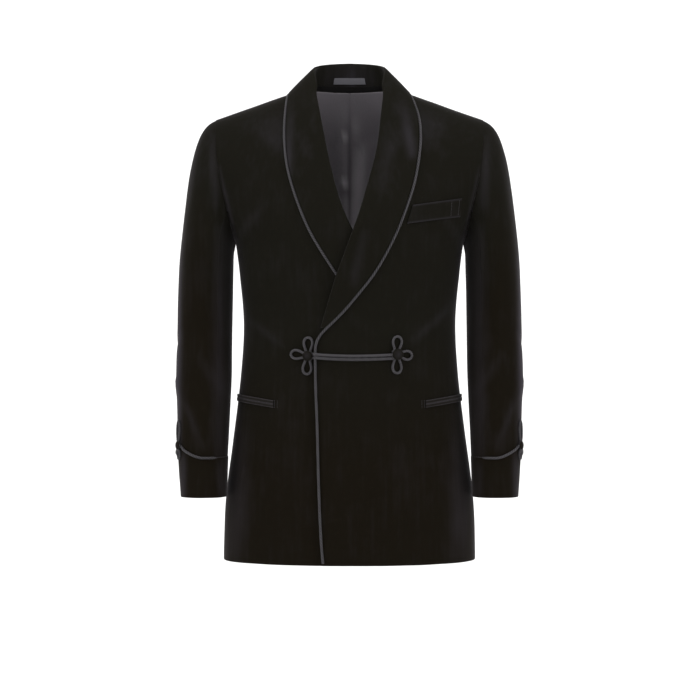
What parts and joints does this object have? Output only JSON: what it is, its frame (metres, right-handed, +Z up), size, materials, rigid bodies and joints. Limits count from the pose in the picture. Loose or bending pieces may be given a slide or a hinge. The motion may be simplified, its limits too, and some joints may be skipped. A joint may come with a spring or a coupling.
{
  "type": "smoking jacket",
  "caption": "Velvet smoking jacket with a corded shawl collar, a front closed by corded frogs, welt pockets and lined back; hollow, open at neck, hem and cuffs.",
  "frame": {"origin": "inside the neck, at the height where the collar crosses the shoulders, in the plane of the shoulder and side seams", "axes": "+Z up through the neck, the front faces -Y, +X towards the wearer's left"},
  "size_m": [0.5776, 0.2754, 0.833],
  "materials": {
    "velvet": "black pile velvet with a dusky sheen where it turns away",
    "lining": "grey satin, softly glossy",
    "cord": "charcoal twisted cord, semi-matt",
    "label": "plain grey woven tape, matt"
  },
  "bodies": {
    "root": {"front_right": "velvet", "front_left": "velvet", "back_right": "velvet", "back_left": "velvet", "top_sleeve_right": "velvet", "top_sleeve_left": "velvet", "under_sleeve_right": "velvet", "under_sleeve_left": "velvet", "cuff_right": "velvet", "cuff_left": "velvet", "collar_right": "velvet", "collar_left": "velvet", "hip_jet_upper_right": "velvet", "hip_jet_lower_right": "velvet", "hip_jet_upper_left": "velvet", "hip_jet_lower_left": "velvet", "breast_pocket_welt": "velvet", "frog_button_right": "velvet", "frog_button_left": "velvet", "cuff_knot_right": "velvet", "cuff_knot_left": "velvet", "back_lining_right": "lining", "back_lining_left": "lining", "neck_band": "lining", "edge_cord_right": "cord", "edge_cord_left": "cord", "cuff_cord_right": "cord", "cuff_cord_left": "cord", "cuff_loop_upper_right": "cord", "cuff_loop_upper_left": "cord", "cuff_loop_lower_right": "cord", "cuff_loop_lower_left": "cord", "frog_right": "cord", "frog_left": "cord", "frog_bar_upper": "cord", "frog_bar_lower": "cord", "neck_label": "label"}
  },
  "joints": []
}
